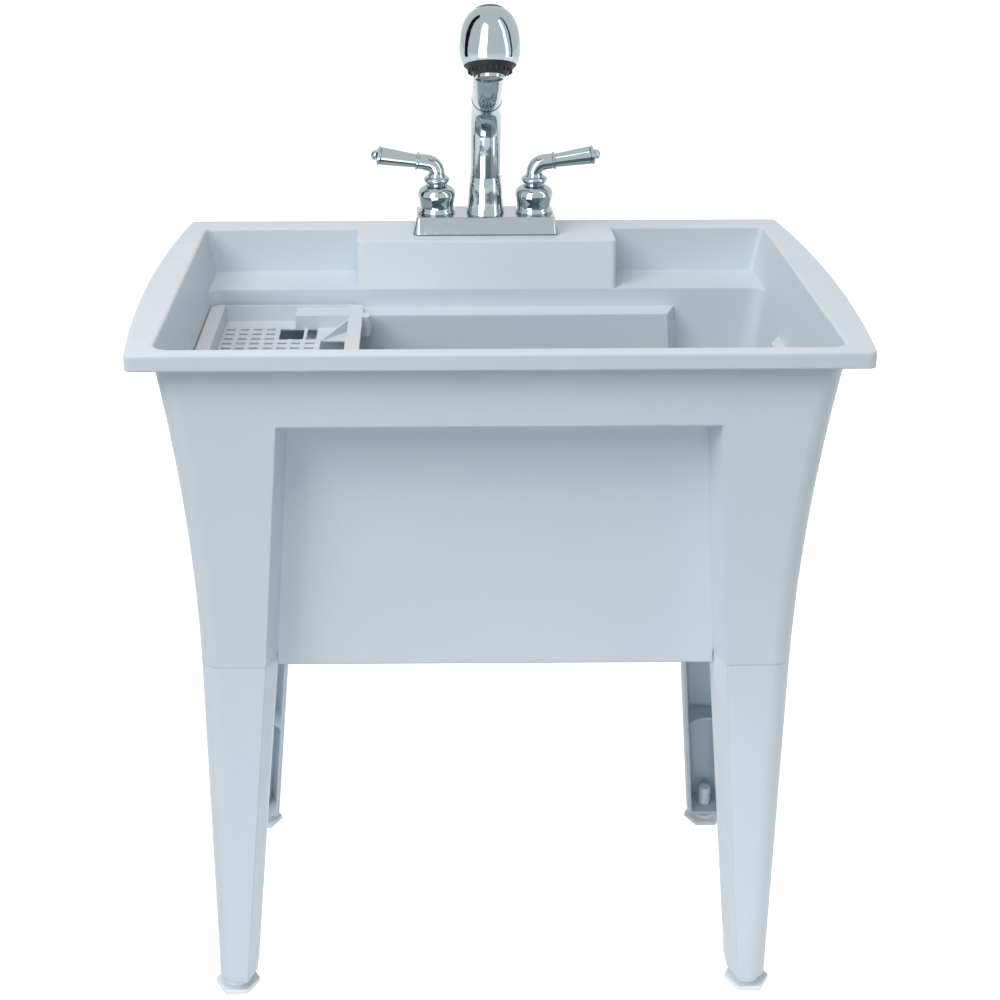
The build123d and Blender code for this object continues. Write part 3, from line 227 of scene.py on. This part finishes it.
def copy_at(piece, name, shift, turn=(0, 0, 0)):
    """A copy with a mesh of its own, turned about the origin and moved."""
    twin = piece.copy()
    twin.data = piece.data.copy()
    twin.name = name
    bpy.context.collection.objects.link(twin)
    twin.location = shift
    twin.rotation_euler = turn
    settle(twin)
    return twin


def joined(name, pieces):
    """Makes one object of several."""
    bpy.ops.object.select_all(action="DESELECT")
    for piece in pieces:
        piece.select_set(True)
    bpy.context.view_layer.objects.active = pieces[0]
    bpy.ops.object.join()
    pieces[0].name = name
    return pieces[0]


def pick(piece, kind, wanted):
    """Goes into edit mode with only the wanted corners or edges selected."""
    alone(piece)
    bpy.ops.object.mode_set(mode="EDIT")
    bpy.ops.mesh.select_mode(type=kind)
    bpy.ops.mesh.select_all(action="DESELECT")
    bpy.ops.object.mode_set(mode="OBJECT")
    for part in piece.data.edges if kind == "EDGE" else piece.data.vertices:
        part.select = wanted(part)
    bpy.ops.object.mode_set(mode="EDIT")


def threaded_rod(middle, radius, length, pitch, depth, sides=32):
    """An upright rod with a helical groove, crests at the radius, both ends tapered to the root."""
    rod = added("cylinder", vertices=sides, radius=radius, depth=length, location=middle)

    def upright(edge):
        low, high = sorted(rod.data.vertices[index].co.z for index in edge.vertices)
        return high - low > length / 2

    pick(rod, "EDGE", upright)
    rings_per_turn = 6
    bpy.ops.mesh.subdivide(number_cuts=round(rings_per_turn * length / pitch))
    bpy.ops.object.mode_set(mode="OBJECT")
    for vertex in rod.data.vertices:
        height = vertex.co.z + length / 2
        turn = atan2(vertex.co.y, vertex.co.x) / (2 * pi)
        groove = abs(2 * ((height / pitch - turn) % 1) - 1)
        end_taper = 1 - min(height, length - height) / pitch
        reach = 1 - depth * max(groove, end_taper) / radius
        vertex.co.x *= reach
        vertex.co.y *= reach
    settle(rod)
    return rod


def plated(name, tone, patch, smooth, dull):
    """Bright plating over steel: crystal patches of two tones with fine scuffs."""
    plating, shader = finish_of(name, Metallic=1)
    place = add_node(plating, "ShaderNodeTexCoord", {}).outputs["Object"]
    # plating crystals, drawn at 2 mm
    crystals = add_node(plating, "ShaderNodeTexVoronoi", {"Scale": 500}, {"Vector": place})
    colour_from(plating, shader, tone, patch, crystals.outputs["Color"])
    scuffs = add_node(plating, "ShaderNodeTexNoise", {"Scale": 260, "Detail": 6}, {"Vector": place})
    roughness_from(plating, shader, scuffs.outputs["Fac"], smooth, dull)
    relief_from(plating, shader, scuffs.outputs["Fac"], 0.2, 0.0001)
    return plating


zinc = plated("zinc_plate", "#a9b0b6", "#c3c8cb", 0.28, 0.5)
wear(zinc, "mounting_washers", "hot_handle_screw", "cold_handle_screw")

leg_screw = added("cylinder", vertices=32, radius=SCREW_HEAD_RADIUS, depth=SCREW_HEAD_HEIGHT,
                  location=(0, 0, SCREW_HEAD_HEIGHT / 2))
settle(leg_screw)
soften(leg_screw, SCREW_HEAD_ROUNDING, 4)
for slot_turn in (0, pi / 2):
    cutter = added("cube", size=1, location=(0, 0, SCREW_HEAD_HEIGHT), rotation=(0, 0, slot_turn),
                   scale=SCREW_SLOT)
    combine(leg_screw, cutter, "DIFFERENCE")
screw_middle = (0, 0, SCREW_OVERLAP - SCREW_LENGTH / 2)
screw_shank = threaded_rod(screw_middle, SCREW_RADIUS, SCREW_LENGTH, SCREW_PITCH, SCREW_THREAD_DEPTH, 16)
combine(leg_screw, screw_shank, "UNION")
coat(leg_screw, zinc)
screw_copies = [
    copy_at(leg_screw, "leg_screw", (side * SCREW_SEAT, row, height), (0, side * pi / 2, 0))
    for side in (-1, 1) for row in SCREW_ROWS for height in SCREW_HEIGHTS
]
bpy.data.objects.remove(leg_screw)
screw_set = joined("leg_screw_set", screw_copies)
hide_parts("leg_screws")
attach(screw_set, "stand")


# ---- Levelling feet: hexagonal pads with a collar and a coarse threaded stud, each moulded in one piece
# of white nylon and screwed up into the plate at the bottom of a leg.
FOOT_PLACES = {
    "front_left_foot": (-0.325, -0.2375, 0),
    "front_right_foot": (0.325, -0.2375, 0),
    "back_left_foot": (-0.325, 0.1155, 0),
    "back_right_foot": (0.325, 0.1155, 0),
}
PAD_RADIUS = 0.0285
PAD_HEIGHT = 0.006
COLLAR_RADIUS = 0.015
COLLAR_HEIGHT = 0.004
STUD_RADIUS = 0.00875
STUD_TOP = 0.051
STUD_PITCH = 0.0025
STUD_THREAD_DEPTH = 0.0013
FOOT_ROUNDING = 0.0008

foot_nylon = moulded_plastic("moulded_nylon", "#ecf3f6", "#e3ecf0", 0.36, 0)
foot = added("cylinder", vertices=6, radius=PAD_RADIUS, depth=PAD_HEIGHT, location=(0, 0, PAD_HEIGHT / 2),
             rotation=(0, 0, pi / 6))
settle(foot)
soften(foot, FOOT_ROUNDING, 3)
# the collar starts inside the pad, so that the two unite
collar = added("cylinder", vertices=48, radius=COLLAR_RADIUS, depth=COLLAR_HEIGHT * 1.5,
               location=(0, 0, PAD_HEIGHT + COLLAR_HEIGHT * 0.25))
settle(collar)
soften(collar, FOOT_ROUNDING, 3)
combine(foot, collar, "UNION")
stud_length = STUD_TOP - PAD_HEIGHT
stud_middle = (0, 0, PAD_HEIGHT + stud_length / 2)
stud = threaded_rod(stud_middle, STUD_RADIUS, stud_length, STUD_PITCH, STUD_THREAD_DEPTH)
combine(foot, stud, "UNION")
coat(foot, foot_nylon)
for name, place in FOOT_PLACES.items():
    levelling_foot = copy_at(foot, name + "_screwed", place)
    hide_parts(name)
    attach(levelling_foot, name)
bpy.data.objects.remove(foot)


# ---- Lift-out tray: a thin polypropylene moulding with a slotted floor, a shade paler than the tub and a
# little shinier, with sharper edges. It hangs on the ledges and on a lug, and isn't fastened.
tray_skin = moulded_plastic("tray_polypropylene", "#ced8df", "#c7d2da", 0.36, 0.0015)
wear(tray_skin, "wash_tray")


# ---- Waste fitting: a pressed and spun stainless flange on a rubber gasket, a card washer under it, and
# nuts, washer and tailpiece in plain white polypropylene. The flange shows the rings of its polishing.
def turned_metal(name, dark, light, smooth, dull, middle, rings):
    """Metal with fine lathe or polishing lines, as rings about a middle or as bands up the piece."""
    metal, shader = finish_of(name, Metallic=1)
    place = add_node(metal, "ShaderNodeTexCoord", {}).outputs["Object"]
    offset = {"Location": [-value for value in middle]}
    centred = add_node(metal, "ShaderNodeMapping", offset, {"Vector": place})
    # tool lines are 0.2 mm apart, drawn at about 1.2 mm so that they show
    lines = {"wave_type": "RINGS" if rings else "BANDS", "Scale": 260, "Distortion": 0.6, "Detail": 3}
    lines["rings_direction" if rings else "bands_direction"] = "Z"
    tooling = add_node(metal, "ShaderNodeTexWave", lines, {"Vector": centred.outputs[0]})
    stains = add_node(metal, "ShaderNodeTexNoise", {"Scale": 60, "Detail": 6}, {"Vector": place})
    colour_from(metal, shader, light, dark, stains.outputs["Fac"])
    roughness_from(metal, shader, stains.outputs["Fac"], smooth, dull)
    relief_from(metal, shader, tooling.outputs["Fac"], 0.25, 0.0001)
    return metal


def moulded_rubber(name, colour, bloom, roughness):
    """Matt rubber: a fine skin with grey bloom in patches."""
    rubber, shader = finish_of(name, IOR=1.52)
    place = add_node(rubber, "ShaderNodeTexCoord", {}).outputs["Object"]
    # bloom gathers in 10 mm patches
    patches = add_node(rubber, "ShaderNodeTexNoise", {"Scale": 100, "Detail": 6}, {"Vector": place})
    colour_from(rubber, shader, colour, bloom, patches.outputs["Fac"])
    roughness_from(rubber, shader, patches.outputs["Fac"], roughness - 0.1, roughness + 0.15)
    # skin of the mould, 1 mm
    skin = add_node(rubber, "ShaderNodeTexNoise", {"Scale": 1000, "Detail": 2}, {"Vector": place})
    relief_from(rubber, shader, skin.outputs["Fac"], 0.3, 0.0002)
    return rubber


DRAIN_MIDDLE = (0, -0.05025, 0)
steel = turned_metal("polished_stainless_steel", "#b3b3b0", "#cfcfcb", 0.16, 0.34, DRAIN_MIDDLE, True)
wear(steel, "drain_flange")
rubber = moulded_rubber("moulded_rubber", "#191a1c", "#2b2c2e", 0.55)
wear(rubber, "drain_gasket", "drain_stopper", "tap_gasket", "spout_o_rings", "spray_face")
white_plastic = moulded_plastic("white_polypropylene", "#e9e9e4", "#dfdfd9", 0.35, 0.001)
wear(white_plastic, "drain_lock_nut", "drain_tailpiece", "tailpiece_slip_nut", "tailpiece_washer",
     "mounting_nuts")

card, shader = finish_of("pressed_card", Roughness=0.9)
place = add_node(card, "ShaderNodeTexCoord", {}).outputs["Object"]
# fibres of about 5 mm, pressed flat, drawn 0.5 mm wide
stretched = add_node(card, "ShaderNodeMapping", {"Scale": (200, 1600, 800)}, {"Vector": place})
fibres = add_node(card, "ShaderNodeTexNoise", {"Scale": 1, "Detail": 4}, {"Vector": stretched.outputs[0]})
colour_from(card, shader, "#6f5a42", "#a88c68", fibres.outputs["Fac"])
relief_from(card, shader, fibres.outputs["Fac"], 0.5, 0.0002)
wear(card, "drain_friction_washer")


# ---- Waterways: shanks, cross tube, valves and the spout's inner tube, turned from brass and left bare
# where the chrome covers hide them. The shanks have half-inch pipe thread below the deck.
SHANK_X = 0.0655
TAP_Y = 0.2325
THREAD_LOW = 0.8025
THREAD_HIGH = 0.8450
THREAD_RADIUS = 0.0109
THREAD_PITCH = 0.00181
THREAD_DEPTH = 0.0005
THREAD_BORE = 0.0103  # just under the shank's own surface

brass = turned_metal("turned_brass", "#a18953", "#c9b27c", 0.22, 0.42, (0, TAP_Y, 0), False)
wear(brass, "waterway", "hot_shank", "cold_shank", "hot_cartridge", "cold_cartridge", "hot_stem",
     "cold_stem", "spout_pivot", "hose_nipple")
thread_length = THREAD_HIGH - THREAD_LOW
for name, side in (("hot", -1), ("cold", 1)):
    thread_middle = (side * SHANK_X, TAP_Y, (THREAD_LOW + THREAD_HIGH) / 2)
    pipe_thread = threaded_rod(thread_middle, THREAD_RADIUS, thread_length, THREAD_PITCH, THREAD_DEPTH)
    bore = added("cylinder", vertices=64, radius=THREAD_BORE, depth=2 * thread_length,
                 location=thread_middle)
    combine(pipe_thread, bore, "DIFFERENCE")
    pipe_thread.name = name + "_shank_thread"
    coat(pipe_thread, brass)
    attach(pipe_thread, "stand")


# ---- Tap covers, levers and spout: zinc and brass castings, buffed and chrome-plated. The plate is a
# mirror with the slight waves of buffing and fine wiping marks. Its base colour, a teal grey, is partly
# the plate's own grey and partly a painted reflection of teal-grey surroundings.
chrome, shader = finish_of("chrome_plate", Metallic=1)
# teal grey: the chrome's own grey with a painted reflection of teal-grey surroundings
shader.inputs["Base Color"].default_value = srgb("#a9b5b8")
place = add_node(chrome, "ShaderNodeTexCoord", {}).outputs["Object"]
# wiping marks, 15 mm long and 2 mm wide
stretched = add_node(chrome, "ShaderNodeMapping", {"Scale": (1, 1, 0.25)}, {"Vector": place})
wiping = add_node(chrome, "ShaderNodeTexNoise", {"Scale": 300, "Detail": 6},
                  {"Vector": stretched.outputs[0]})
roughness_from(chrome, shader, wiping.outputs["Fac"], 0.03, 0.11)
# buffing waves, 12 mm
buffing = add_node(chrome, "ShaderNodeTexNoise", {"Scale": 80, "Detail": 1}, {"Vector": place})
relief_from(chrome, shader, buffing.outputs["Fac"], 0.35, 0.0004)
wear(chrome, "tap_base", "hot_bonnet", "cold_bonnet", "hot_handle", "cold_handle", "spout_base", "spout",
     "spray_wand", "aerator")

dock_plastic = moulded_plastic("black_acetal", "#17181a", "#212225", 0.35, 0)
wear(dock_plastic, "dock_ring")


# ---- Spray face: a soft black cone with 24 rubber nozzles that stand out of it, so that lime can be
# rubbed off them, and a woven steel gauze inside the chrome ring in the middle.
FACE_MIDDLE = (0, 0.0985, 1.0915)
FACE_TILT = radians(-23)
TIP_COUNT = 24
TIP_RING = 0.02625
TIP_LEVEL = 0.0088
TIP_RADIUS = 0.0015
TIP_LENGTH = 0.0046
TIP_ROUNDING = 0.0004
JET_RADIUS = 0.0006
JET_DEPTH = 0.001
GAUZE_RADIUS = 0.0153
GAUZE_LEVEL = 0.0012
GAUZE_CELLS = 24
GAUZE_WIRE = 0.0004

nozzle_tip = added("cylinder", vertices=12, radius=TIP_RADIUS, depth=TIP_LENGTH, location=(0, 0, 0))
settle(nozzle_tip)
soften(nozzle_tip, TIP_ROUNDING, 2)
jet = added("cylinder", vertices=8, radius=JET_RADIUS, depth=2 * JET_DEPTH,
            location=(0, 0, -TIP_LENGTH / 2))
combine(nozzle_tip, jet, "DIFFERENCE")
coat(nozzle_tip, rubber)
tips = []
for number in range(TIP_COUNT):
    angle = 2 * pi * number / TIP_COUNT
    spot = (TIP_RING * cos(angle), TIP_RING * sin(angle), TIP_LEVEL)
    tips.append(copy_at(nozzle_tip, "nozzle_tip", spot))
bpy.data.objects.remove(nozzle_tip)
spray_nozzles = joined("spray_nozzles", tips)

gauze = added("grid", x_subdivisions=GAUZE_CELLS, y_subdivisions=GAUZE_CELLS, size=2 * GAUZE_RADIUS,
              location=(0, 0, 0))
pick(gauze, "VERT", lambda corner: corner.co.length > GAUZE_RADIUS)
bpy.ops.mesh.delete(type="VERT")
bpy.ops.object.mode_set(mode="OBJECT")
modify(gauze, "WIREFRAME", thickness=GAUZE_WIRE, use_boundary=True)
gauze.location = (0, 0, GAUZE_LEVEL)
settle(gauze)
gauze.name = "aerator_gauze"
coat(gauze, steel)
for piece, slot in ((spray_nozzles, "black_rubber"), (gauze, "chrome")):
    piece.location = FACE_MIDDLE
    piece.rotation_euler = (FACE_TILT, 0, 0)
    settle(piece)
    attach(piece, "spray_head")


# ---- Spray button: a dark grey rubber cap that is let into the top of the spray head, a little paler
# than the spray face.
button_rubber = moulded_rubber("button_rubber", "#3f474a", "#545d60", 0.5)
wear(button_rubber, "spray_button")


# ---- Studio: a pale floor that runs on to a white world. The key lamp is far off in front, above and to
# the left. Weaker ones hang overhead, lie low in front of the legs, and light the back and right side.
# Only the metals mirror the small lamp in front of the tap and the bright and dark cards at the sides.
def shown_to_mirrors(material, level):
    """Lifts a stage surface to a level in the camera's and the metals' view, without lighting anything."""
    light_path = add_node(material, "ShaderNodeLightPath", {})
    either = add_node(material, "ShaderNodeMath", {"operation": "MAXIMUM"},
                      {0: light_path.outputs["Is Camera Ray"], 1: light_path.outputs["Is Glossy Ray"]})
    with_glass = add_node(material, "ShaderNodeMath", {"operation": "MAXIMUM"},
                          {0: either.outputs[0], 1: light_path.outputs["Is Transmission Ray"]})
    lift = add_node(material, "ShaderNodeMath", {"operation": "MULTIPLY", 1: level},
                    {0: with_glass.outputs[0]})
    return lift.outputs[0]


floor = added("plane", size=40, location=(0, 0, 0))
floor.name = "studio_floor"
floor_paint, shader = finish_of("studio_floor_paint", Roughness=0.9)
shader.inputs["Base Color"].default_value = srgb("#c0c0c0")
shader.inputs["Emission Color"].default_value = srgb("#ffffff")
floor_paint.node_tree.links.new(shown_to_mirrors(floor_paint, 0.95), shader.inputs["Emission Strength"])
floor.data.materials.append(floor_paint)

world = bpy.data.worlds.new("studio_white")
bpy.context.scene.world = world
world.use_nodes = True
world.node_tree.nodes.clear()
fill = add_node(world, "ShaderNodeBackground", {"Color": srgb("#f4f7fb"), "Strength": 0.33})
white = add_node(world, "ShaderNodeBackground", {"Color": srgb("#ffffff")})
mixed = add_node(world, "ShaderNodeMixShader", {}, {0: shown_to_mirrors(world, 1), 1: fill.outputs[0],
                                                    2: white.outputs[0]})
add_node(world, "ShaderNodeOutputWorld", {}, {"Surface": mixed.outputs[0]})


def softbox(name, place, target, size, watts, colour, for_mirrors=False):
    """A rectangular area lamp that faces a point. It lights what is matt, or only shows in mirrors."""
    bpy.ops.object.select_all(action="DESELECT")
    bpy.ops.object.light_add(type="AREA", location=place)
    lamp = bpy.context.object
    lamp.name = name
    lamp.rotation_euler = (Vector(target) - Vector(place)).to_track_quat("-Z", "Y").to_euler()
    lamp.data.shape = "RECTANGLE"
    lamp.data.size, lamp.data.size_y = size
    lamp.data.energy = watts
    lamp.data.color = srgb(colour)[:3]
    lamp.visible_camera = False
    lamp.visible_glossy = for_mirrors
    lamp.visible_diffuse = not for_mirrors


softbox("key_softbox", (-3.4, -2.8, 4.5), (0, -0.1, 0.8), (2.8, 2.8), 166, "#fffbff")
softbox("overhead_softbox", (-0.3, -1.0, 3.0), (0, 0, 0.8), (1.6, 0.8), 29, "#fff0e4")
softbox("floor_softbox", (0.1, -0.9, 0.05), (0, 0, 0.05), (1.0, 0.08), 2.0, "#f6f9ff")
softbox("back_softbox", (0.6, 3.6, 0.9), (0, 0, 0.6), (1.6, 1.2), 40, "#fffdf8")
softbox("right_softbox", (3.6, 0.2, 0.8), (0, 0, 0.6), (1.6, 1.2), 28, "#fffdf8")
softbox("tap_highlight", (-0.117, -0.044, 0.848), (0, TAP_Y, 0.848), (0.20, 0.115), 0.22, "#ffffff", True)


CARD_DISTANCE = 2.0


def mirror_card(name, azimuth, width, low, high, level):
    """An upright card that only mirrors see, at an angle to the left as seen from the tap."""
    turn = radians(azimuth)
    spot = (-CARD_DISTANCE * sin(turn), TAP_Y - CARD_DISTANCE * cos(turn), (low + high) / 2)
    card = added("plane", size=1, location=spot, rotation=(pi / 2, 0, -turn))
    card.scale = (width, high - low, 1)
    card.name = name
    paint, shader = finish_of(name + "_paint", Roughness=1, Emission_Strength=level)
    shader.inputs["Base Color"].default_value = srgb("#000000")
    shader.inputs["Emission Color"].default_value = srgb("#ffffff")
    paint.cycles.emission_sampling = "NONE"  # it lights nothing, so no light is sought from it
    card.data.materials.append(paint)
    card.visible_camera = False
    card.visible_diffuse = False
    card.visible_transmission = False
    card.visible_shadow = False


mirror_card("left_bright_card", 28, 1.1, 0.5, 4.5, 3)
mirror_card("left_dark_card", 100, 0.7, 0.5, 4.5, 0)
mirror_card("right_bright_card", -62, 0.4, 0.5, 4.5, 3)
mirror_card("right_dark_card", -84, 0.25, 0.5, 4.5, 0)
